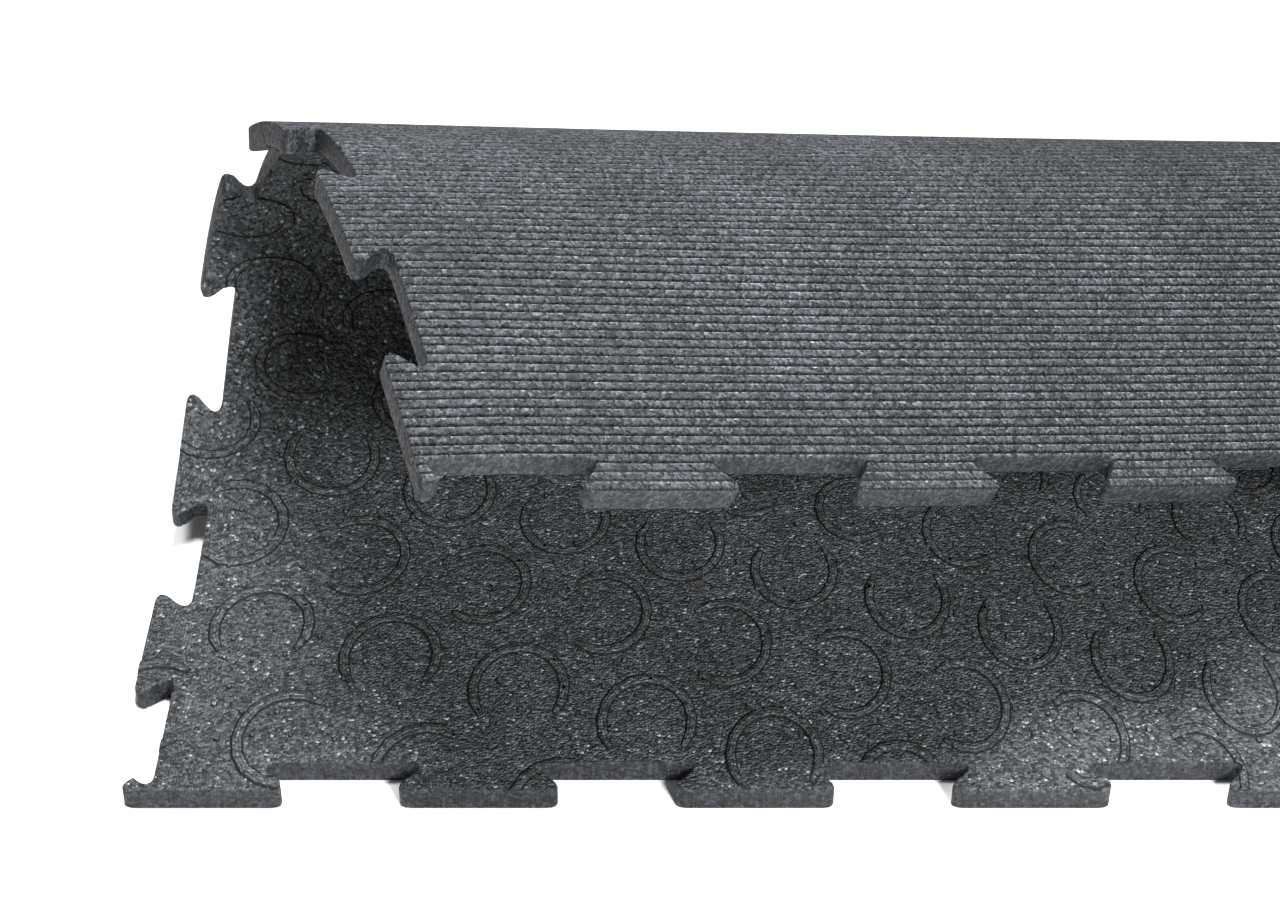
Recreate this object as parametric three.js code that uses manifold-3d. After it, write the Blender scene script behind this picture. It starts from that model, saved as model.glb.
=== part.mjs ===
// Rubber stall mat: one thick rubber sheet with dovetail tabs on two edges and matching slots on
// the other two. It lies tread side up, and its back half is folded forward over the front half,
// so the grooved underside shows. The loop of the fold stands wide open at the left end and is
// tighter at the right, where the turned half comes down and rests on the lower one.
// Millimetres, +Z up. Front edge towards -Y, left edge towards -X.

import * as THREE from 'three';
import Module from 'manifold-3d';

// Sheet, laid flat: whole tab spacings each way
const tabPitch = 203.2;
const pitchesAcross = 9;
const pitchesDeep = 6;
const thickness = 19.05;

// Dovetail tabs, and the slots that take the tabs of the next mat
const tabDepth = 29.5;
const tabHeadWidth = 113;
const tabNeckWidth = 93.4;
const tabCornerRadius = 7;
const arcSteps = 3;
const fitClearance = 0.5;
const firstFrontTab = 36.5;
const firstLeftTab = 136.5;

// Fold: where the turning starts and ends along the left edge, and past the knee further right,
// from where the bend lines run on side by side, skewed a little towards the back
const leftTurnCentre = 575;
const leftTurnReach = 866;
const kneeFromLeft = 1376;
const kneeTurnCentre = 791;
const kneeTurnReach = 265;
const kneeSoftness = 135;
const skewPastKnee = 0.174;
const turnAtLeft = 193.4;
const restingGap = 3.2;

// How the turning is spread over the loop: slow at its start and end, tightest at the middle
const earlyShift = 0.206;
const middleTightness = 0.925;

// Fineness of the model. The row line keeps the stations of the turned half near its free edge.
const bendLines = 24;
const stationsAcross = 12;
const rowLineFromSlots = 12;

const rubberColour = 0x4b4f52;

const sheetWidth = pitchesAcross * tabPitch;
const sheetDepth = pitchesDeep * tabPitch;

// One wavy edge line from left to right, its tabs standing out towards -Y.
// Each side of a tab is an arc at its root, a short slanted line and an arc at its head.
function dovetailLine(firstTab, run, growth) {
  const radius = tabCornerRadius;
  const depth = tabDepth + growth;
  const headHalf = tabHeadWidth / 2 + growth;
  const neckHalf = tabNeckWidth / 2 + growth;
  const rootCentre = new THREE.Vector2(neckHalf + radius, -radius);
  const headCentre = new THREE.Vector2(headHalf - radius, radius - depth);
  const between = rootCentre.clone().sub(headCentre);
  const lean = Math.acos(Math.min(1, 2 * radius / between.length()));
  const slant = between.angle() - lean;
  const path = new THREE.Path();
  for (let tab = firstTab - tabPitch; tab < run + tabPitch; tab += tabPitch) {
    const left = tab - rootCentre.x;
    const headLeft = tab - headCentre.x;
    path.absarc(left, rootCentre.y, radius, Math.PI / 2, -slant, true);
    path.absarc(headLeft, headCentre.y, radius, Math.PI - slant, 1.5 * Math.PI, false);
    path.absarc(tab + headCentre.x, headCentre.y, radius, -Math.PI / 2, slant, false);
    path.absarc(tab + rootCentre.x, rootCentre.y, radius, Math.PI + slant, Math.PI / 2, true);
  }
  const points = path.getPoints(arcSteps);
  const start = new THREE.Vector2(points[0].x - tabPitch / 4, 0);
  const end = new THREE.Vector2(points[points.length - 1].x + tabPitch / 4, 0);
  return [start, ...points, end];
}

// The band between an edge line and its slotted partner on the far side, as a flat slab.
function bandSlab(nearLine, farLine, span, across) {
  const far = farLine.map((point) => new THREE.Vector2(point.x, point.y + span)).reverse();
  const outline = [...nearLine, ...far];
  const turned = across ? outline.map((point) => new THREE.Vector2(point.y, point.x)) : outline;
  return new THREE.ExtrudeGeometry(new THREE.Shape(turned), { depth: thickness, bevelEnabled: false });
}

// Merges a geometry's shared corners and makes it a solid for joins and cuts.
function toSolid(wasm, geometry) {
  const position = geometry.index ? geometry.toNonIndexed().attributes.position : geometry.attributes.position;
  const numbers = new Map();
  const vertices = [];
  const triangles = [];
  for (let i = 0; i < position.count; i += 1) {
    const corner = [position.getX(i), position.getY(i), position.getZ(i)];
    const key = corner.map((value) => Math.round(value * 1e4)).join();
    if (!numbers.has(key)) {
      numbers.set(key, numbers.size);
      vertices.push(...corner);
    }
    triangles.push(numbers.get(key));
  }
  return new wasm.Manifold(new wasm.Mesh({
    numProp: 3,
    vertProperties: new Float32Array(vertices),
    triVerts: new Uint32Array(triangles),
  }));
}

// The upper face of a flat slab: points in the sheet and triangles, each with a strip number.
function upperFace(slab) {
  const mesh = slab.getMesh();
  const points = [];
  const isTop = [];
  for (let i = 0; i < mesh.numVert; i += 1) {
    const [x, y, z] = mesh.vertProperties.slice(i * mesh.numProp, i * mesh.numProp + 3);
    points.push(new THREE.Vector2(x, y));
    isTop.push(z > thickness / 2);
  }
  const triangles = [];
  for (let i = 0; i < mesh.numTri; i += 1) {
    const corners = [...mesh.triVerts.slice(i * 3, i * 3 + 3)];
    if (corners.every((corner) => isTop[corner])) triangles.push({ corners, strip: 0 });
  }
  return { points, triangles };
}

// 1 at the left edge, falling evenly to 0 at the knee and staying there, with a soft corner.
function leftShare(u) {
  const x = 1 - u / kneeFromLeft;
  const soft = kneeSoftness / kneeFromLeft;
  return (x + Math.hypot(x, 2 * soft)) / 2;
}

// Bend line number i: its place v at a distance u from the left edge, and its slope there.
function bendLine(i, u) {
  const share = (i + 0.5) / bendLines;
  const bell = share * (1 - share);
  const spread = share - 0.5 + earlyShift * (1 / 6 - bell) + middleTightness * bell * (1 - 2 * share);
  const atLeft = leftTurnCentre + leftTurnReach * spread;
  const atKnee = kneeTurnCentre + kneeTurnReach * spread;
  const fall = atLeft - atKnee + skewPastKnee * kneeFromLeft;
  const x = 1 - u / kneeFromLeft;
  const soft = kneeSoftness / kneeFromLeft;
  const shareSlope = -(1 + x / Math.hypot(x, 2 * soft)) / (2 * kneeFromLeft);
  return {
    v: atKnee + skewPastKnee * (u - kneeFromLeft) + fall * leftShare(u),
    slope: skewPastKnee + fall * shareSlope,
  };
}

// Dividing line i: a bend line, or last of all the row line along the slots of the free edge.
function dividingLine(i, u) {
  if (i < bendLines) return bendLine(i, u).v;
  return sheetDepth - tabDepth - fitClearance - rowLineFromSlots;
}

// Splits the triangles that dividing line i crosses, and counts the line for those beyond it.
function splitAlong(face, i) {
  const { points } = face;
  const side = points.map((point) => {
    const beyond = point.y - dividingLine(i, point.x);
    return Math.abs(beyond) < 1e-4 ? 0 : beyond;
  });
  const crossings = new Map();
  function crossing(a, b) {
    const key = Math.min(a, b) + ',' + Math.max(a, b);
    if (!crossings.has(key)) {
      points.push(points[a].clone().lerp(points[b], side[a] / (side[a] - side[b])));
      side.push(0);
      crossings.set(key, points.length - 1);
    }
    return crossings.get(key);
  }
  const result = [];
  function keep(corners, strip) {
    const beyond = corners.some((corner) => side[corner] > 0);
    result.push({ corners, strip: beyond ? strip + 1 : strip });
  }
  for (const { corners, strip } of face.triangles) {
    const signs = corners.map((corner) => Math.sign(side[corner]));
    if (!signs.includes(1) || !signs.includes(-1)) {
      keep(corners, strip);
      continue;
    }
    const zero = signs.indexOf(0);
    const sum = signs[0] + signs[1] + signs[2];
    const start = zero >= 0 ? zero : signs.indexOf(-Math.sign(sum));
    const a = corners[start];
    const b = corners[(start + 1) % 3];
    const c = corners[(start + 2) % 3];
    if (zero >= 0) {
      const p = crossing(b, c);
      keep([a, b, p], strip);
      keep([a, p, c], strip);
    } else {
      const p = crossing(a, b);
      const q = crossing(a, c);
      keep([a, p, q], strip);
      keep([p, b, c], strip);
      keep([p, c, q], strip);
    }
  }
  face.triangles = result;
}

// The directed edges of some triangles that no neighbour shares.
function openEdges(triangles) {
  const edges = new Map();
  for (const { corners } of triangles) {
    for (let k = 0; k < 3; k += 1) edges.set(corners[k] + ',' + corners[(k + 1) % 3], true);
  }
  const open = [];
  for (const key of edges.keys()) {
    const [a, b] = key.split(',').map(Number);
    if (!edges.has(b + ',' + a)) open.push([a, b]);
  }
  return open;
}

// Chains edges end to end into closed loops.
function chainLoops(edges) {
  const next = new Map(edges);
  const loops = [];
  while (next.size > 0) {
    const loop = [];
    let at = next.keys().next().value;
    while (next.has(at)) {
      loop.push(at);
      const following = next.get(at);
      next.delete(at);
      at = following;
    }
    loops.push(loop);
  }
  return loops;
}

// Gives each strip between two dividing lines new triangles in place of the slivers that
// splitting left: even cells between the stations on its two lines, and its part of the outline
// with the last stations at each end.
function retriangulate(face) {
  const { points } = face;
  const rim = openEdges(face.triangles);
  const onRim = new Set(rim.flat());
  const stations = new Map();
  function station(line, k) {
    const key = line + ',' + k;
    if (!stations.has(key)) {
      const u = k * sheetWidth / stationsAcross;
      points.push(new THREE.Vector2(u, dividingLine(line, u)));
      stations.set(key, points.length - 1);
    }
    return stations.get(key);
  }
  const triangles = [];
  function fill(corners) {
    const outline = corners.map((corner) => points[corner]);
    for (const triangle of THREE.ShapeUtils.triangulateShape(outline, [])) {
      triangles.push(triangle.map((k) => corners[k]));
    }
  }
  function fillFreeEdge(chain, row) {
    const nearest = row.map((station) => {
      const distances = chain.map((corner) => points[corner].distanceTo(points[station]));
      return distances.indexOf(Math.min(...distances));
    });
    fill([row[row.length - 1], ...chain.slice(0, nearest[row.length - 1] + 1)]);
    for (let k = 0; k + 1 < row.length; k += 1) {
      fill([row[k], row[k + 1], ...chain.slice(nearest[k + 1], nearest[k] + 1)]);
    }
    fill([...chain.slice(nearest[0]), row[0]]);
  }
  const last = stationsAcross - 1;
  for (let strip = 0; strip <= bendLines + 1; strip += 1) {
    const own = face.triangles.filter((triangle) => triangle.strip === strip);
    for (const loop of chainLoops(openEdges(own))) {
      const kept = loop.filter((point) => onRim.has(point));
      const stride = (k) => points[kept[(k + 1) % kept.length]].x - points[kept[k]].x;
      const lower = strip > 0 ? kept.findIndex((_, k) => stride(k) > sheetWidth / 2) : -1;
      const upper = strip <= bendLines ? kept.findIndex((_, k) => stride(k) < -sheetWidth / 2) : -1;
      if (lower < 0 && upper < 0) {
        fill(kept);
        continue;
      }
      const inOrder = [...kept, ...kept];
      const upperStations = [];
      const lowerStations = [];
      for (let k = 1; k <= last; k += 1) {
        if (upper >= 0) upperStations.unshift(station(strip, k));
        if (lower >= 0) lowerStations.push(station(strip - 1, k));
      }
      if (lower < 0) {
        fill([...inOrder.slice(upper + 1, upper + 1 + kept.length), ...upperStations]);
        continue;
      }
      if (upper < 0) {
        fillFreeEdge(inOrder.slice(lower + 1, lower + 1 + kept.length), lowerStations);
        continue;
      }
      const toUpper = upper > lower ? upper : upper + kept.length;
      const toLower = lower > upper ? lower : lower + kept.length;
      fill([station(strip - 1, last), ...inOrder.slice(lower + 1, toUpper + 1), station(strip, last)]);
      fill([station(strip, 1), ...inOrder.slice(upper + 1, toLower + 1), station(strip - 1, 1)]);
      for (let k = 1; k < last; k += 1) {
        const cell = [station(strip - 1, k), station(strip - 1, k + 1), station(strip, k + 1), station(strip, k)];
        triangles.push([cell[0], cell[1], cell[2]], [cell[0], cell[2], cell[3]]);
      }
    }
  }
  return { points, triangles, rim };
}

// Where a sheet point goes when the sheet is bent: its middle, and the direction of its tread.
function bend(point, turnPastKnee) {
  const share = Math.min(1, leftShare(point.x));
  const turn = THREE.MathUtils.degToRad(turnAtLeft * share + turnPastKnee * (1 - share)) / bendLines;
  const facing = new THREE.Quaternion();
  const middle = new THREE.Vector3(point.x, Math.min(point.y, bendLine(0, point.x).v), 0);
  for (let i = 0; i < bendLines; i += 1) {
    const { v, slope } = bendLine(i, point.x);
    const beyond = point.y - v;
    if (beyond < -0.02) break;
    const axis = new THREE.Vector3(1, slope, 0).normalize();
    const onLine = beyond < 0.02;
    facing.multiply(new THREE.Quaternion().setFromAxisAngle(axis, onLine ? turn / 2 : turn));
    if (onLine) break;
    const end = i + 1 < bendLines ? Math.min(point.y, bendLine(i + 1, point.x).v) : point.y;
    middle.addScaledVector(new THREE.Vector3(0, 1, 0).applyQuaternion(facing), end - v);
  }
  return { middle, tread: new THREE.Vector3(0, 0, 1).applyQuaternion(facing) };
}

// The turn past the knee that lets the folded half down until it rests on the lower half.
function restingTurn(sheet) {
  const beyondFold = sheet.rim
    .map(([point]) => sheet.points[point])
    .filter((point) => point.y > bendLine(bendLines - 1, point.x).v);
  let open = 180;
  let closed = 240;
  for (let round = 0; round < 16; round += 1) {
    const turn = (open + closed) / 2;
    const heights = beyondFold.map((point) => {
      const { middle, tread } = bend(point, turn);
      return middle.z + tread.z * thickness / 2;
    });
    if (Math.min(...heights) > thickness / 2 + restingGap) open = turn;
    else closed = turn;
  }
  return open;
}

// The bent sheet as a closed skin: tread, underside and cut edge.
function bentSheet(sheet) {
  const turnPastKnee = restingTurn(sheet);
  const positions = [];
  for (const point of sheet.points) {
    const { middle, tread } = bend(point, turnPastKnee);
    const upper = middle.clone().addScaledVector(tread, thickness / 2);
    const lower = middle.clone().addScaledVector(tread, -thickness / 2);
    positions.push(...upper.toArray(), ...lower.toArray());
  }
  const index = [];
  for (const [a, b, c] of sheet.triangles) {
    index.push(2 * a, 2 * b, 2 * c);
    index.push(2 * a + 1, 2 * c + 1, 2 * b + 1);
  }
  for (const [a, b] of sheet.rim) {
    index.push(2 * a + 1, 2 * b + 1, 2 * b);
    index.push(2 * a + 1, 2 * b, 2 * a);
  }
  const geometry = new THREE.BufferGeometry();
  geometry.setAttribute('position', new THREE.Float32BufferAttribute(positions, 3));
  geometry.setIndex(index);
  return geometry.toNonIndexed();
}

// Moves a geometry so that the middle of its footprint is the origin and it stands on Z = 0.
function standOnOrigin(geometry) {
  geometry.computeBoundingBox();
  const { min, max } = geometry.boundingBox;
  geometry.translate(-(min.x + max.x) / 2, -(min.y + max.y) / 2, -min.z);
  geometry.computeVertexNormals();
  return geometry;
}

const wasm = await Module();
wasm.setup();

const frontLine = dovetailLine(firstFrontTab, sheetWidth, 0);
const backLine = dovetailLine(firstFrontTab, sheetWidth, fitClearance);
const leftLine = dovetailLine(firstLeftTab, sheetDepth, 0);
const rightLine = dovetailLine(firstLeftTab, sheetDepth, fitClearance);

const lengthwise = toSolid(wasm, bandSlab(frontLine, backLine, sheetDepth, false));
const crosswise = toSolid(wasm, bandSlab(leftLine, rightLine, sheetWidth, true));
const face = upperFace(lengthwise.intersect(crosswise));
for (let i = 0; i <= bendLines; i += 1) splitAlong(face, i);

const rubber = new THREE.MeshStandardMaterial({ color: rubberColour, roughness: 0.92, metalness: 0 });
const mat = new THREE.Mesh(standOnOrigin(bentSheet(retriangulate(face))), rubber);
mat.name = 'stall_mat';

const group = new THREE.Group();
group.add(mat);

export default group;
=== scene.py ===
import math
import random

import bpy
import numpy as np
from mathutils import Matrix, Vector


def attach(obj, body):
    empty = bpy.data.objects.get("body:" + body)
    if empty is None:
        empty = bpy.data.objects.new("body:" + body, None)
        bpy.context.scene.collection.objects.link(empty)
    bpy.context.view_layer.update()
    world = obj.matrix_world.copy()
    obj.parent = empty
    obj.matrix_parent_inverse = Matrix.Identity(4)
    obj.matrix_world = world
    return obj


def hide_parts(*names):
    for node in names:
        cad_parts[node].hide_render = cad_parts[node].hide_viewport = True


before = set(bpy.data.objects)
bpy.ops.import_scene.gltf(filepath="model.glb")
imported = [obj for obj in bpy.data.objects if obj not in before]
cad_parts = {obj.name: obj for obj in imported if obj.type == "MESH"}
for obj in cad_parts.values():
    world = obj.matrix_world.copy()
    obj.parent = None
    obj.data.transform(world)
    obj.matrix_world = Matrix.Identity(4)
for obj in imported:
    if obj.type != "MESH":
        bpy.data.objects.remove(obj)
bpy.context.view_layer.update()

# The sheet laid flat, in metres: u from its left edge, v from its front edge, z up from its underside
TAB_PITCH = 0.2032
SHEET_WIDTH = 9 * TAB_PITCH
SHEET_DEPTH = 6 * TAB_PITCH
THICKNESS = 0.01905
RIM_ROUNDING = 0.0016

# Dovetail tabs, and the slots cut for the tabs of the next mat
TAB_DEPTH = 0.0295
TAB_HEAD = 0.113
TAB_NECK = 0.0934
TAB_CORNER_RADIUS = 0.007
FIT_CLEARANCE = 0.0005
FIRST_FRONT_TAB = 0.0365
FIRST_LEFT_TAB = 0.1365
CORNER_STEPS = 5
OVERLAP = 0.01

# The fold, as in the solid: bend lines fan out at the left and run side by side past the knee
LEFT_TURN_CENTRE = 0.575
LEFT_TURN_REACH = 0.866
KNEE_FROM_LEFT = 1.376
KNEE_TURN_CENTRE = 0.791
KNEE_TURN_REACH = 0.265
KNEE_SOFTNESS = 0.135
SKEW_PAST_KNEE = 0.174
TURN_AT_LEFT = math.radians(193.4)
TURN_PAST_KNEE = math.radians(202.1)
EARLY_SHIFT = 0.206
MIDDLE_TIGHTNESS = 0.925
BEND_LINES = 72

# Grooves moulded in the underside
GROOVE_PITCH = TAB_PITCH / 25
GROOVE_HALF_WIDTH = 0.0015
GROOVE_DEPTH = 0.0022
LAST_GROOVE = SHEET_DEPTH - TAB_DEPTH + 0.0038
COLUMN_SPACING = 0.036

# Raised horseshoes of the tread: rows counted from the front, each a quarter turn on from the last
SHOE_RADIUS = 0.0372
SHOE_SWEEP = math.radians(256)
SHOE_STEPS = 12
SHOE_BAND = 0.0112
SHOE_HEIGHT = 0.0016
SHOE_SINK = 0.0008
SHOE_END_TAPER = 0.55
SHOE_SECTION = ((-0.5, -0.35), (-0.35, 0.6), (-0.14, 1.0), (0.14, 1.0), (0.35, 0.6), (0.5, -0.35))
SHOE_ROWS = range(-2, 26)
SHOES_ALONG = range(-3, 32)
SHOE_SPACING = 0.105
PATTERN_PAST_SIDES = 0.04
PATTERN_PAST_ENDS = 0.06

# The pattern's lie on the sheet. Along a row the spacing shrinks from the left up to a certain step and
# is even after it; away from the front the rows close up about a soft bend.
PATTERN_LEFT = 0.0938
PATTERN_FRONT = 0.1305
ALONG_STEP = 0.1057
ALONG_SHRINKING = 0.00152
SHRINKS_UP_TO = 9.5
FAR_ALONG_STEP = 0.0768
ROW_SHIFT = 0.0336
ROW_STEP = 0.1
ROW_SLANT = 0.0286
ROW_STRETCH = 0.977
ROW_CLOSING = 0.36
CLOSING_AT = 0.262
CLOSING_SOFTNESS = 0.124

# Small nubs strewn between the horseshoes
NUB_SPACING = 0.029
NUB_RADIUS = 0.0034
NUB_HEIGHT = 0.0016
NUB_TOP = 0.45
NUB_LENGTHENED = 1.2
NUB_SIZES = (0.75, 1.15)
NUB_STRAYING = 0.006
NUB_OFF_SLOTS = TAB_DEPTH + 0.008

# Crumb rubber
TREAD = (0.046, 0.050, 0.053)
UNDERSIDE = (0.032, 0.035, 0.040)
# The cut edge is darker than the tread partly as cut rubber and partly as painted shade on the upright
# walls.
CUT_EDGE = (0.015, 0.017, 0.020)
CRUMB_SCALE = 430
CRUMB_RELIEF = 0.0026
CRUMB_TONES = ((0.25, 0.5), (0.55, 1.0), (0.85, 1.65), (0.97, 2.3))
DARKEST_CRUMB = 0.2
FINE_GRAIN_SCALE = 420
CLOUD_SCALE = 9
CLOUD_TONES = (0.78, 1.2)
GROOVE_WANDER = 0.0012
WANDER_SCALE = 160
GROOVE_LINE_SHIFT = 0.0006
LINES_ALONG_SHOE = 26
CUT_STROKES = (900, 900, 60)
SMOOTH_UP_TO = math.radians(35)

# Camera and light
CAMERA_PLACE = (-0.59609, -1.77998, 1.34942)
CAMERA_TILT = 53.31
FOCAL_LENGTH_PIXELS = 2587.9
PHOTO_WIDTH_PIXELS = 1280
SENSOR_WIDTH = 36
FLOOR_SIZE = 24
FLOOR_TONE = 0.85
AMBIENT = 0.15


def select_only(*pieces):
    bpy.ops.object.select_all(action="DESELECT")
    for piece in pieces:
        piece.select_set(True)
    bpy.context.view_layer.objects.active = pieces[0]


def pick(piece, kind, wanted):
    """Leaves the piece in edit mode with just the wanted vertices, edges or faces selected."""
    select_only(piece)
    mesh = piece.data
    for part in (mesh.vertices, mesh.edges, mesh.polygons):
        part.foreach_set("select", [False] * len(part))
    parts = {"VERT": mesh.vertices, "EDGE": mesh.edges, "FACE": mesh.polygons}[kind]
    for part in parts:
        if wanted(part):
            part.select = True
    bpy.context.tool_settings.mesh_select_mode = (kind == "VERT", kind == "EDGE", kind == "FACE")
    bpy.ops.object.mode_set(mode="EDIT")


def done():
    bpy.ops.object.mode_set(mode="OBJECT")


def block(name, low, high):
    """A plain block between two corners, its place in its mesh."""
    bpy.ops.object.select_all(action="DESELECT")
    low, high = Vector(low), Vector(high)
    bpy.ops.mesh.primitive_cube_add(size=1, location=(low + high) / 2, scale=high - low)
    piece = bpy.context.active_object
    piece.name = name
    bpy.ops.object.transform_apply(location=True, rotation=True, scale=True)
    return piece


def combine(body, tool, operation):
    select_only(body)
    bpy.ops.object.modifier_add(type="BOOLEAN")
    modifier = body.modifiers[-1]
    modifier.operation = operation
    modifier.solver = "EXACT"
    modifier.object = tool
    bpy.ops.object.modifier_apply(modifier=modifier.name)
    bpy.data.objects.remove(tool)


def join(name, pieces):
    select_only(*pieces)
    bpy.ops.object.join()
    joined = bpy.context.active_object
    joined.name = name
    return joined


def merge_flat_faces(piece):
    pick(piece, "FACE", lambda face: True)
    bpy.ops.mesh.dissolve_limited(angle_limit=math.radians(0.2))
    done()


def corner_of_tab(growth):
    """Half widths of a tab's sharp root and head, and how far its rounding runs along each side."""
    radius = TAB_CORNER_RADIUS
    depth = TAB_DEPTH + growth
    root_centre = Vector((TAB_NECK / 2 + growth + radius, -radius))
    head_centre = Vector((TAB_HEAD / 2 + growth - radius, radius - depth))
    between = root_centre - head_centre
    slant = math.atan2(between.y, between.x) - math.acos(2 * radius / between.length)
    touch = head_centre + radius * Vector((math.cos(slant), math.sin(slant)))
    lean = -math.tan(slant)
    root_half = touch.x + lean * (0 - touch.y)
    head_half = touch.x + lean * (-depth - touch.y)
    rounding = radius * math.tan((math.pi / 2 + slant) / 2)
    return root_half, head_half, rounding


def dovetail(growth, low, high):
    """One tab standing out towards -Y from the origin; growth swells it into a slot's cutter."""
    root_half, head_half, rounding = corner_of_tab(growth)
    depth = TAB_DEPTH + growth
    tab = block("tab", (-root_half, 0, low), (root_half, OVERLAP, high))
    pick(tab, "FACE", lambda face: face.normal.y < -0.9)
    bpy.ops.mesh.extrude_region_move(TRANSFORM_OT_translate={"value": (0, -depth, 0)})
    bpy.ops.transform.resize(value=(head_half / root_half, 1, 1), center_override=(0, 0, 0))
    done()
    ends = tab.data.vertices

    def at_head(edge):
        a, b = (ends[i].co for i in edge.vertices)
        return abs(a.x - b.x) < 1e-5 and max(a.y, b.y) < -depth + 1e-4

    pick(tab, "EDGE", at_head)
    bpy.ops.mesh.bevel(offset=rounding, segments=CORNER_STEPS, affect="EDGES")
    done()
    return tab


def copies_along(first, piece, run, shift):
    """Copies of a tab or cutter, one to each tab spacing along X."""
    copies = []
    for k in range(-1, math.ceil(run / TAB_PITCH) + 1):
        copy = piece.copy()
        copy.data = piece.data.copy()
        copy.data.transform(Matrix.Translation((first + k * TAB_PITCH, shift, 0)))
        bpy.context.collection.objects.link(copy)
        copies.append(copy)
    bpy.data.objects.remove(piece)
    return copies


def edged_band(name, first, run, span):
    """A flat band along X with tabs on its near edge and slots in its far one."""
    band = block(name, (first - 2.5 * TAB_PITCH, 0, 0), (run + 2.5 * TAB_PITCH, span, THICKNESS))
    tabs = copies_along(first, dovetail(0, 0, THICKNESS), run, 0)
    combine(band, join("tabs", tabs), "UNION")
    cutter = dovetail(FIT_CLEARANCE, -OVERLAP, THICKNESS + OVERLAP)
    cutters = copies_along(first, cutter, run, span)
    combine(band, join("slot_cutters", cutters), "DIFFERENCE")
    merge_flat_faces(band)
    ends = band.data.vertices
    roots = {0: corner_of_tab(0), span: corner_of_tab(FIT_CLEARANCE)}
    for edge_line, (_, _, rounding) in roots.items():

        def at_root(edge, line=edge_line):
            a, b = (ends[i].co for i in edge.vertices)
            upright = abs(a.z - b.z) > THICKNESS / 2
            inside = first - 2 * TAB_PITCH < a.x < run + 2 * TAB_PITCH
            return upright and inside and abs(a.y - line) < 1e-5

        pick(band, "EDGE", at_root)
        bpy.ops.mesh.bevel(offset=rounding, segments=CORNER_STEPS, affect="EDGES")
        done()
        ends = band.data.vertices
    return band


def flat_outline():
    """The sheet's plain slab: tabs at the front and left, slots at the back and right."""
    lengthwise = edged_band("sheet", FIRST_FRONT_TAB, SHEET_WIDTH, SHEET_DEPTH)
    crosswise = edged_band("crosswise", FIRST_LEFT_TAB, SHEET_DEPTH, SHEET_WIDTH)
    crosswise.data.transform(Matrix(((0, 1, 0, 0), (1, 0, 0, 0), (0, 0, 1, 0), (0, 0, 0, 1))))
    crosswise.data.flip_normals()
    combine(lengthwise, crosswise, "INTERSECT")
    merge_flat_faces(lengthwise)
    return lengthwise


def round_rims(sheet):
    ends = sheet.data.vertices

    def on_rim(edge):
        a, b = (ends[i].co for i in edge.vertices)
        return abs(a.z - b.z) < 1e-6

    pick(sheet, "EDGE", on_rim)
    bpy.ops.mesh.bevel(offset=RIM_ROUNDING, segments=2, affect="EDGES", clamp_overlap=False)
    done()


def cut_across(place, direction):
    bpy.ops.mesh.select_all(action="SELECT")
    bpy.ops.mesh.bisect(plane_co=place, plane_no=direction)


def cut_into_cells(sheet):
    """Cuts the slab into columns and one row to each groove, then rules the grooves' sides."""
    pick(sheet, "FACE", lambda face: True)
    columns = int(SHEET_WIDTH / COLUMN_SPACING)
    for k in range(1, columns):
        cut_across((SHEET_WIDTH * k / columns, 0, 0), (1, 0, 0))
    grooves = int(LAST_GROOVE / GROOVE_PITCH)
    lines = [LAST_GROOVE - k * GROOVE_PITCH for k in range(grooves)]
    for v in lines + [LAST_GROOVE + GROOVE_PITCH, LAST_GROOVE + 2 * GROOVE_PITCH]:
        cut_across((0, v, 0), (0, 1, 0))
    done()
    pick(sheet, "FACE", lambda face: face.center.z > THICKNESS - RIM_ROUNDING)
    bpy.ops.mesh.hide(unselected=False)
    for v in lines:
        for side in (-GROOVE_HALF_WIDTH, GROOVE_HALF_WIDTH):
            cut_across((0, v + side, 0), (0, 1, 0))
    bpy.ops.mesh.reveal()
    bpy.ops.mesh.select_all(action="SELECT")
    bpy.ops.mesh.quads_convert_to_tris(quad_method="FIXED", ngon_method="BEAUTY")
    done()
    for vertex in sheet.data.vertices:
        step = (LAST_GROOVE - vertex.co.y) / GROOVE_PITCH
        in_groove = abs(step - round(step)) * GROOVE_PITCH < GROOVE_HALF_WIDTH / 4
        if in_groove and 0 <= round(step) < grooves and vertex.co.z < GROOVE_DEPTH:
            vertex.co.z = GROOVE_DEPTH


def mark_across(shoe):
    """Keeps how far each point lies from the middle of the band, for the fine lines along it."""
    across = shoe.data.attributes.new("across", "FLOAT", "POINT")
    for vertex, mark in zip(shoe.data.vertices, across.data):
        mark.value = (vertex.co.x - SHOE_RADIUS) / SHOE_BAND


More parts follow.
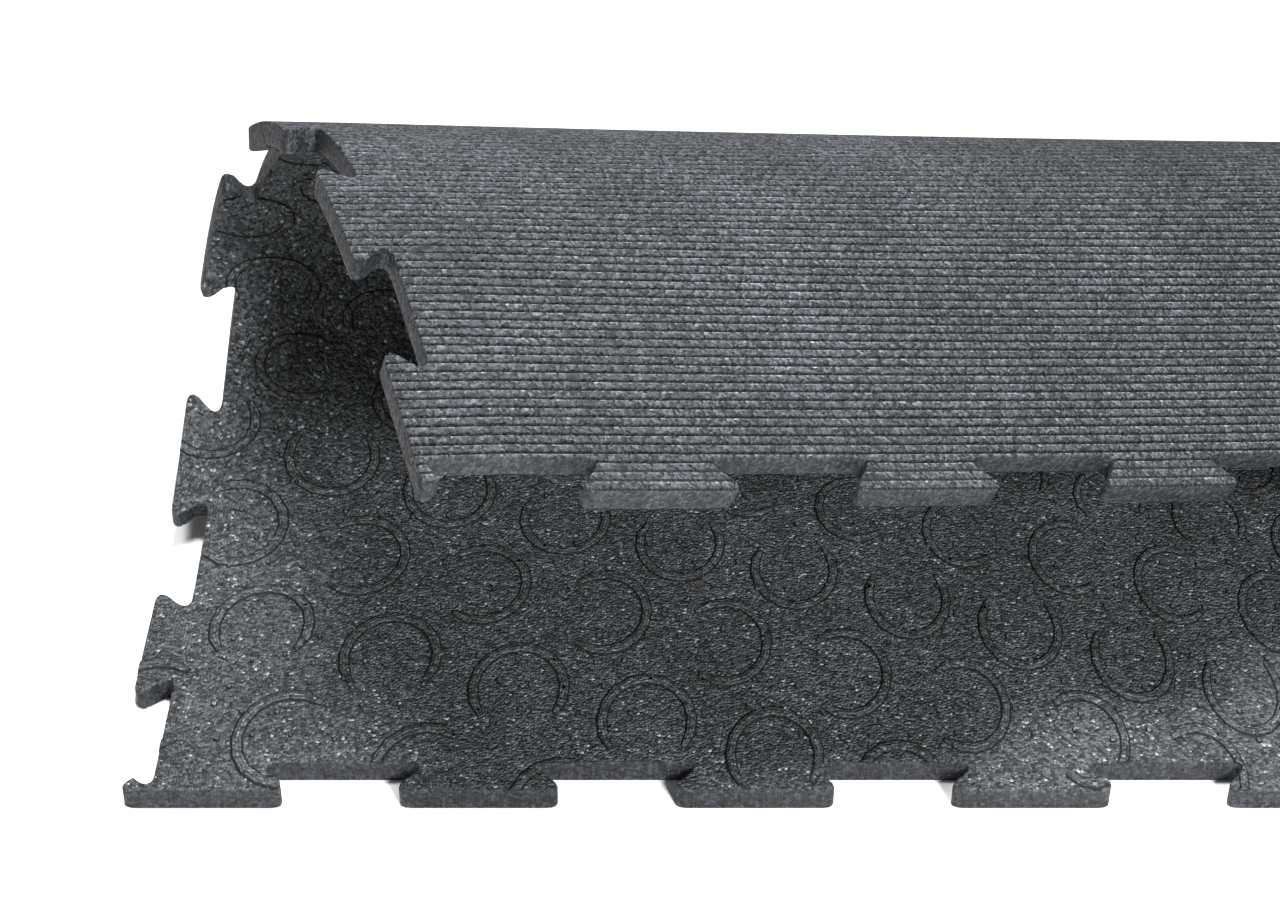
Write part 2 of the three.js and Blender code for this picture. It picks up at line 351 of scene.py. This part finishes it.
def horseshoe():
    """One raised horseshoe about the origin, open towards +X: a spun band with tapered ends."""
    bpy.ops.object.select_all(action="DESELECT")
    bpy.ops.mesh.primitive_circle_add(
        vertices=len(SHOE_SECTION), radius=0.5, fill_type="NGON", location=(0, 0, 0)
    )
    shoe = bpy.context.active_object
    shoe.name = "horseshoe"
    order = sorted(shoe.data.vertices, key=lambda vertex: math.atan2(vertex.co.y, vertex.co.x))
    for vertex, (across, height) in zip(order, SHOE_SECTION):
        vertex.co = Vector((SHOE_RADIUS + across * SHOE_BAND, 0, height * SHOE_HEIGHT))
    mark_across(shoe)
    shoe.data.transform(Matrix.Rotation((SHOE_SWEEP - 2 * math.pi) / 2, 4, "Z"))
    pick(shoe, "FACE", lambda face: True)
    bpy.ops.mesh.spin(steps=SHOE_STEPS, angle=SHOE_SWEEP, center=(0, 0, 0), axis=(0, 0, 1))
    bpy.ops.mesh.select_all(action="SELECT")
    bpy.ops.mesh.normals_make_consistent(inside=False)
    done()
    for face in shoe.data.polygons:
        if len(face.vertices) == len(SHOE_SECTION):
            middle = face.center.copy()
            for i in face.vertices:
                offset = shoe.data.vertices[i].co - middle
                offset.x *= SHOE_END_TAPER
                offset.y *= SHOE_END_TAPER
                shoe.data.vertices[i].co = middle + offset
    return shoe


def place_in_pattern(along, row):
    """Where the moulded pattern lies on the sheet: rows run closer together away from the front."""
    near = min(along, SHRINKS_UP_TO)
    left = PATTERN_LEFT + ALONG_STEP * near - ALONG_SHRINKING * near * near
    u = left + FAR_ALONG_STEP * (along - near) - ROW_SHIFT * row
    away = ROW_STEP * row - ROW_SLANT * along
    closing = ROW_CLOSING * math.hypot(away - CLOSING_AT, CLOSING_SOFTNESS)
    return u, PATTERN_FRONT + ROW_STRETCH * away - closing


def horseshoes():
    """All the horseshoes, each turned a quarter on from the row before it, leaving out those that lie
    well past the edges.
    """
    pattern = horseshoe()
    shoes = []
    for row in SHOE_ROWS:
        for along in SHOES_ALONG:
            u, v = place_in_pattern(along, row)
            past_sides = not -PATTERN_PAST_SIDES < u < SHEET_WIDTH + PATTERN_PAST_SIDES
            past_ends = not -PATTERN_PAST_ENDS < v < SHEET_DEPTH + PATTERN_PAST_ENDS
            if past_sides or past_ends:
                continue
            shoe = pattern.copy()
            shoe.data = pattern.data.copy()
            shoe.data.transform(Matrix.Rotation(-math.pi / 2 * (row % 4), 4, "Z"))
            for vertex in shoe.data.vertices:
                x = vertex.co.x
                rows_on = (vertex.co.y + ROW_SLANT / ROW_STEP * x) / ROW_STEP
                at = place_in_pattern(along + x / SHOE_SPACING, row + rows_on)
                vertex.co.x, vertex.co.y = at[0] + ROW_SHIFT * rows_on, at[1]
                vertex.co.z += THICKNESS
            bpy.context.collection.objects.link(shoe)
            shoes.append(shoe)
    bpy.data.objects.remove(pattern)
    return join("horseshoes", shoes)


def nubs():
    """Low round nubs strewn over the tread in uneven rows, kept off the slots."""
    random.seed(7)
    bpy.ops.object.select_all(action="DESELECT")
    bpy.ops.mesh.primitive_cone_add(
        vertices=6, radius1=NUB_RADIUS, radius2=NUB_RADIUS * NUB_TOP, depth=NUB_HEIGHT + SHOE_SINK
    )
    pattern = bpy.context.active_object
    pattern.data.transform(Matrix.Translation((0, 0, THICKNESS + (NUB_HEIGHT - SHOE_SINK) / 2)))
    strewn = []
    rows = int(SHEET_DEPTH / NUB_SPACING)
    across = int(SHEET_WIDTH / NUB_SPACING)
    for row in range(1, rows):
        for k in range(1, across):
            u = (k + 0.5 * (row % 2)) * NUB_SPACING + random.uniform(-NUB_STRAYING, NUB_STRAYING)
            v = row * NUB_SPACING + random.uniform(-NUB_STRAYING, NUB_STRAYING)
            size = random.uniform(*NUB_SIZES)
            if u > SHEET_WIDTH - NUB_OFF_SLOTS or v > SHEET_DEPTH - NUB_OFF_SLOTS:
                continue
            nub = pattern.copy()
            nub.data = pattern.data.copy()
            sized = Matrix.Diagonal((size, size * NUB_LENGTHENED, 1, 1))
            nub.data.transform(Matrix.Translation((u, v, 0)) @ sized)
            bpy.context.collection.objects.link(nub)
            strewn.append(nub)
    bpy.data.objects.remove(pattern)
    return join("nubs", strewn)


def bend_line(share, u):
    """A bend line's place v at a distance u from the left edge, and its slope there."""
    bell = share * (1 - share)
    spread = share - 0.5 + EARLY_SHIFT * (1 / 6 - bell) + MIDDLE_TIGHTNESS * bell * (1 - 2 * share)
    at_left = LEFT_TURN_CENTRE + LEFT_TURN_REACH * spread
    at_knee = KNEE_TURN_CENTRE + KNEE_TURN_REACH * spread
    fall = at_left - at_knee + SKEW_PAST_KNEE * KNEE_FROM_LEFT
    x = 1 - u / KNEE_FROM_LEFT
    root = np.hypot(x, 2 * KNEE_SOFTNESS / KNEE_FROM_LEFT)
    v = at_knee + SKEW_PAST_KNEE * (u - KNEE_FROM_LEFT) + fall * (x + root) / 2
    slope = SKEW_PAST_KNEE - fall * (1 + x / root) / (2 * KNEE_FROM_LEFT)
    return v, slope


def fold(piece):
    """Bends the flat piece over as the solid is bent: many small turns about straight lines."""
    count = len(piece.data.vertices)
    flat = np.empty(count * 3)
    piece.data.vertices.foreach_get("co", flat)
    flat = flat.reshape(-1, 3)
    laid_flat = piece.data.attributes.new("laid_flat", "FLOAT_VECTOR", "POINT")
    laid_flat.data.foreach_set("vector", flat.ravel())
    u, v = flat[:, 0], flat[:, 1]
    x = 1 - u / KNEE_FROM_LEFT
    left_share = np.minimum(1, (x + np.hypot(x, 2 * KNEE_SOFTNESS / KNEE_FROM_LEFT)) / 2)
    turn = (TURN_AT_LEFT * left_share + TURN_PAST_KNEE * (1 - left_share)) / BEND_LINES
    lines = [bend_line((i + 0.5) / BEND_LINES, u) for i in range(BEND_LINES)]
    facing = np.tile(np.eye(3), (count, 1, 1))
    place = np.stack([u, np.minimum(v, lines[0][0]), np.zeros(count)], 1)
    for i, (at, slope) in enumerate(lines):
        past = v > at
        length = np.sqrt(1 + slope * slope)
        ax, ay = 1 / length, slope / length
        c, s = np.cos(turn), np.sin(turn)
        turned = np.empty((count, 3, 3))
        turned[:, 0] = np.stack([c + ax * ax * (1 - c), ax * ay * (1 - c), ay * s], 1)
        turned[:, 1] = np.stack([ax * ay * (1 - c), c + ay * ay * (1 - c), -ax * s], 1)
        turned[:, 2] = np.stack([-ay * s, ax * s, c], 1)
        facing = np.where(past[:, None, None], facing @ turned, facing)
        end = v if i + 1 == BEND_LINES else np.minimum(v, lines[i + 1][0])
        place += np.clip(end - at, 0, None)[:, None] * facing[:, :, 1]
    place += (flat[:, 2] - THICKNESS / 2)[:, None] * facing[:, :, 2]
    piece.data.vertices.foreach_set("co", place.ravel())
    piece.data.update()


def stand_on_origin(piece):
    corners = np.empty(len(piece.data.vertices) * 3)
    piece.data.vertices.foreach_get("co", corners)
    corners = corners.reshape(-1, 3)
    middle = (corners.min(0) + corners.max(0)) / 2
    piece.data.transform(Matrix.Translation((-middle[0], -middle[1], -corners[:, 2].min())))


def rubber(name, colour, fleck, grain, roughness):
    """Rough crumb rubber: each crumb has its own tone, up to fleck times as pale as the colour."""
    material = bpy.data.materials.new(name)
    material.use_nodes = True
    tree = material.node_tree
    shader = tree.nodes["Principled BSDF"]
    shader.inputs["Specular IOR Level"].default_value = 0.3
    place = tree.nodes.new("ShaderNodeTexCoord").outputs["Object"]

    crumbs = tree.nodes.new("ShaderNodeTexVoronoi")
    crumbs.inputs["Scale"].default_value = CRUMB_SCALE
    tree.links.new(place, crumbs.inputs["Vector"])
    pick_tone = tree.nodes.new("ShaderNodeSeparateColor")
    tree.links.new(crumbs.outputs["Color"], pick_tone.inputs["Color"])
    tones = tree.nodes.new("ShaderNodeValToRGB")
    stops = tones.color_ramp.elements
    stops[0].position, stops[0].color = 0.0, (*[c * DARKEST_CRUMB for c in colour], 1)
    stops[1].position, stops[1].color = 1.0, (*[c * fleck for c in colour], 1)
    for position, strength in CRUMB_TONES:
        stop = stops.new(position)
        stop.color = (*[c * strength for c in colour], 1)
    tree.links.new(pick_tone.outputs["Red"], tones.inputs["Fac"])

    cloud = tree.nodes.new("ShaderNodeTexNoise")
    cloud.inputs["Scale"].default_value = CLOUD_SCALE
    cloud.inputs["Detail"].default_value = 4
    tree.links.new(place, cloud.inputs["Vector"])
    shade = tree.nodes.new("ShaderNodeMapRange")
    shade.inputs["From Min"].default_value = 0.3
    shade.inputs["From Max"].default_value = 0.7
    shade.inputs["To Min"].default_value, shade.inputs["To Max"].default_value = CLOUD_TONES
    tree.links.new(cloud.outputs["Fac"], shade.inputs["Value"])
    tinted = tree.nodes.new("ShaderNodeVectorMath")
    tinted.operation = "SCALE"
    tree.links.new(tones.outputs["Color"], tinted.inputs[0])
    tree.links.new(shade.outputs["Result"], tinted.inputs["Scale"])

    fine = tree.nodes.new("ShaderNodeTexNoise")
    fine.inputs["Scale"].default_value = FINE_GRAIN_SCALE
    fine.inputs["Detail"].default_value = 3
    tree.links.new(place, fine.inputs["Vector"])
    height = tree.nodes.new("ShaderNodeMath")
    height.operation = "SUBTRACT"
    tree.links.new(fine.outputs["Fac"], height.inputs[0])
    tree.links.new(crumbs.outputs["Distance"], height.inputs[1])
    bump = tree.nodes.new("ShaderNodeBump")
    bump.inputs["Strength"].default_value = grain
    bump.inputs["Distance"].default_value = CRUMB_RELIEF
    tree.links.new(height.outputs["Value"], bump.inputs["Height"])

    gloss = tree.nodes.new("ShaderNodeMapRange")
    gloss.inputs["To Min"].default_value = roughness - 0.18
    gloss.inputs["To Max"].default_value = roughness + 0.08
    tree.links.new(pick_tone.outputs["Green"], gloss.inputs["Value"])
    tree.links.new(gloss.outputs["Result"], shader.inputs["Roughness"])
    tree.links.new(tinted.outputs["Vector"], shader.inputs["Base Color"])
    tree.links.new(bump.outputs["Normal"], shader.inputs["Normal"])
    return material, tree, tinted, height


def shaded_by(tree, tinted, height, factor, relief):
    """Lets a 0 to 1 factor darken the colour, and sinks the surface where it is dark."""
    shader = tree.nodes["Principled BSDF"]
    scaled = tree.nodes.new("ShaderNodeVectorMath")
    scaled.operation = "SCALE"
    tree.links.new(tinted.outputs["Vector"], scaled.inputs[0])
    tree.links.new(factor, scaled.inputs["Scale"])
    tree.links.new(scaled.outputs["Vector"], shader.inputs["Base Color"])
    if relief:
        raised = tree.nodes.new("ShaderNodeMath")
        raised.operation = "MULTIPLY_ADD"
        raised.inputs[1].default_value = relief
        tree.links.new(factor, raised.inputs[0])
        tree.links.new(height.outputs["Value"], raised.inputs[2])
        bump = next(node for node in tree.nodes if node.type == "BUMP")
        tree.links.new(raised.outputs["Value"], bump.inputs["Height"])


def flat_place(tree, axis):
    """One coordinate of the sheet as it was laid flat."""
    place = tree.nodes.new("ShaderNodeAttribute")
    place.attribute_name = "laid_flat"
    apart = tree.nodes.new("ShaderNodeSeparateXYZ")
    tree.links.new(place.outputs["Vector"], apart.inputs["Vector"])
    return apart.outputs[axis]


def ramp(tree, value, stops):
    """A ramp through (position, brightness) stops, where a half leaves a colour as it is."""
    node = tree.nodes.new("ShaderNodeValToRGB")
    elements = node.color_ramp.elements
    for element, (position, grey) in zip(elements, (stops[0], stops[-1])):
        element.position, element.color = position, (grey, grey, grey, 1)
    for position, grey in stops[1:-1]:
        elements.new(position).color = (grey, grey, grey, 1)
    tree.links.new(value, node.inputs["Fac"])
    tone = tree.nodes.new("ShaderNodeMath")
    tone.operation = "MULTIPLY"
    tone.inputs[1].default_value = 2
    tree.links.new(node.outputs["Color"], tone.inputs[0])
    return tone.outputs["Value"]


def spread(tree, value, low, high):
    """The value's place between low and high, from 0 to 1."""
    node = tree.nodes.new("ShaderNodeMapRange")
    node.inputs["From Min"].default_value = low
    node.inputs["From Max"].default_value = high
    tree.links.new(value, node.inputs["Value"])
    return node.outputs["Result"]


def ribbed_underside():
    """Rubber with painted shade as a dark line in each groove and a painted highlight as a pale lip
    along its outer side.
    """
    material, tree, tinted, height = rubber("grooved_rubber", UNDERSIDE, 3.2, 0.8, 0.72)
    v = flat_place(tree, "Y")
    wander = tree.nodes.new("ShaderNodeTexNoise")
    wander.inputs["Scale"].default_value = WANDER_SCALE
    tree.links.new(tree.nodes["Texture Coordinate"].outputs["Object"], wander.inputs["Vector"])
    shifted = tree.nodes.new("ShaderNodeMath")
    shifted.operation = "MULTIPLY_ADD"
    shifted.inputs[1].default_value = GROOVE_WANDER
    tree.links.new(wander.outputs["Fac"], shifted.inputs[0])
    tree.links.new(v, shifted.inputs[2])
    pitches = tree.nodes.new("ShaderNodeMapRange")
    pitches.clamp = False
    pitches.inputs["From Min"].default_value = LAST_GROOVE + GROOVE_LINE_SHIFT
    pitches.inputs["From Max"].default_value = LAST_GROOVE + GROOVE_LINE_SHIFT - GROOVE_PITCH
    pitches.inputs["To Min"].default_value = 0.5
    pitches.inputs["To Max"].default_value = 1.5
    tree.links.new(shifted.outputs["Value"], pitches.inputs["Value"])
    step = tree.nodes.new("ShaderNodeMath")
    step.operation = "FRACT"
    tree.links.new(pitches.outputs["Result"], step.inputs[0])
    flat_start, flat_end = [(0.0, 0.5), (0.18, 0.55)], [(0.68, 0.4), (1.0, 0.5)]
    # Painted shade as a dark line in each groove, and a painted highlight as a pale lip beside it.
    painted_lip_highlight, painted_groove_shade = [(0.25, 0.98), (0.34, 0.98)], [(0.39, 0.06), (0.6, 0.04)]
    lines = flat_start + painted_lip_highlight + painted_groove_shade + flat_end
    shaded_by(tree, tinted, height, ramp(tree, step.outputs["Value"], lines), 0)
    return material


def cut_edge():
    """Darker cut rubber, partly its own tone and partly painted shade on the upright walls, drawn
    finely up and down, with painted highlights as paler rims.
    """
    material, tree, tinted, height = rubber("cut_edge_rubber", CUT_EDGE, 2.4, 0.35, 0.7)
    z = flat_place(tree, "Z")
    drawn = tree.nodes.new("ShaderNodeMapping")
    drawn.inputs["Scale"].default_value = CUT_STROKES
    place = next(node for node in tree.nodes if node.type == "ATTRIBUTE")
    tree.links.new(place.outputs["Vector"], drawn.inputs["Vector"])
    strokes = tree.nodes.new("ShaderNodeTexNoise")
    strokes.inputs["Scale"].default_value = 1
    tree.links.new(drawn.outputs["Vector"], strokes.inputs["Vector"])
    # Painted highlight: the rounded rims at the top and bottom of the cut are painted paler.
    painted_rim_highlight = [(0.0, 0.95), (0.09, 0.5), (0.5, 0.4), (0.91, 0.5), (1.0, 0.9)]
    rims = ramp(tree, spread(tree, z, 0, THICKNESS), painted_rim_highlight)
    streaks = ramp(tree, strokes.outputs["Fac"], [(0.3, 0.3), (0.5, 0.5), (0.7, 0.8)])
    both = tree.nodes.new("ShaderNodeMath")
    both.operation = "MULTIPLY"
    tree.links.new(rims, both.inputs[0])
    tree.links.new(streaks, both.inputs[1])
    shaded_by(tree, tinted, height, both.outputs["Value"], 0.2)
    return material


def raised_relief():
    """The horseshoes and nubs: tread rubber with painted shade round the foot and fine lines along the
    band.
    """
    material, tree, tinted, height = rubber("relief_rubber", TREAD, 4.5, 0.6, 0.78)
    z = flat_place(tree, "Z")
    rising = spread(tree, z, THICKNESS, THICKNESS + SHOE_HEIGHT)
    # Painted shade: the colour darkens towards the foot of each horseshoe and nub.
    painted_foot_shade = ramp(tree, rising, [(0.0, 0.02), (0.6, 0.04), (0.78, 0.42), (1.0, 0.54)])
    across = tree.nodes.new("ShaderNodeAttribute")
    across.attribute_name = "across"
    wave = tree.nodes.new("ShaderNodeMath")
    wave.operation = "MULTIPLY"
    wave.inputs[1].default_value = LINES_ALONG_SHOE
    tree.links.new(across.outputs["Fac"], wave.inputs[0])
    ripple = tree.nodes.new("ShaderNodeMath")
    ripple.operation = "COSINE"
    tree.links.new(wave.outputs["Value"], ripple.inputs[0])
    crest = spread(tree, ripple.outputs["Value"], -1, 1)
    lines = ramp(tree, crest, [(0.0, 0.22), (0.35, 0.44), (1.0, 0.52)])
    both = tree.nodes.new("ShaderNodeMath")
    both.operation = "MULTIPLY"
    tree.links.new(painted_foot_shade, both.inputs[0])
    tree.links.new(lines, both.inputs[1])
    shaded_by(tree, tinted, height, both.outputs["Value"], 0.5)
    return material


def finish_faces(sheet):
    """Tread rubber on top, grooved rubber below and cut rubber round the edge."""
    sheet.data.materials.clear()
    for material in (tread_rubber, underside_rubber, edge_rubber):
        sheet.data.materials.append(material)
    for face in sheet.data.polygons:
        if face.normal.z > 0.95:
            face.material_index = 0
        elif face.center.z < GROOVE_DEPTH and face.normal.z < -0.4:
            face.material_index = 1
        else:
            face.material_index = 2


tread_rubber = rubber("tread_rubber", TREAD, 6.5, 1.0, 0.8)[0]
underside_rubber = ribbed_underside()
edge_rubber = cut_edge()
relief_rubber = raised_relief()

sheet = flat_outline()
select_only(sheet)
bpy.ops.object.duplicate()
outline = bpy.context.active_object
for vertex in outline.data.vertices:
    vertex.co.z = THICKNESS / 2 if vertex.co.z < THICKNESS / 2 else THICKNESS + OVERLAP
round_rims(sheet)
cut_into_cells(sheet)
shoes = horseshoes()
combine(shoes, outline, "INTERSECT")
specks = nubs()
finish_faces(sheet)
for relief in (shoes, specks):
    relief.data.materials.clear()
    relief.data.materials.append(relief_rubber)
mat = join("mat_rubber", [sheet, shoes, specks])
fold(mat)
stand_on_origin(mat)
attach(mat, "root")
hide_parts("stall_mat")

select_only(mat)
bpy.ops.object.shade_smooth_by_angle(angle=SMOOTH_UP_TO)

# Floor, light and camera
bpy.ops.object.select_all(action="DESELECT")
bpy.ops.mesh.primitive_plane_add(size=FLOOR_SIZE, location=(0, 0, 0))
floor = bpy.context.active_object
floor.name = "studio_floor"
paint = bpy.data.materials.new("pale_floor")
paint.use_nodes = True
paint_shader = paint.node_tree.nodes["Principled BSDF"]
paint_shader.inputs["Base Color"].default_value = (FLOOR_TONE, FLOOR_TONE, FLOOR_TONE, 1)
paint_shader.inputs["Roughness"].default_value = 0.8
floor.data.materials.append(paint)

world = bpy.data.worlds.new("studio")
bpy.context.scene.world = world
bpy.context.scene.view_settings.view_transform = "Standard"
world.use_nodes = True
world.node_tree.nodes["Background"].inputs["Color"].default_value = (1, 1, 1, 1)
world.node_tree.nodes["Background"].inputs["Strength"].default_value = AMBIENT


def soft_light(name, place, aim, size, power, beam):
    """A square soft light aimed at a point; its beam is in degrees."""
    bpy.ops.object.light_add(type="AREA", location=place)
    light = bpy.context.active_object
    light.name = name
    light.data.size = size
    light.data.energy = power
    light.data.spread = math.radians(beam)
    light.rotation_euler = (Vector(aim) - Vector(place)).to_track_quat("-Z", "Y").to_euler()
    return light


key = soft_light("key_light", (0.4, -2.5, 1.6), (-0.6, 0, 0.1), 0.5, 190, 180)
fill = soft_light("top_light", (-0.55, 0.1, 2.2), (-0.6, -0.25, 0), 0.6, 55, 130)

bpy.ops.object.camera_add(location=CAMERA_PLACE, rotation=(math.radians(CAMERA_TILT), 0, 0))
camera = bpy.context.active_object
camera.data.lens = FOCAL_LENGTH_PIXELS / PHOTO_WIDTH_PIXELS * SENSOR_WIDTH
camera.data.sensor_width = SENSOR_WIDTH
bpy.context.scene.camera = camera
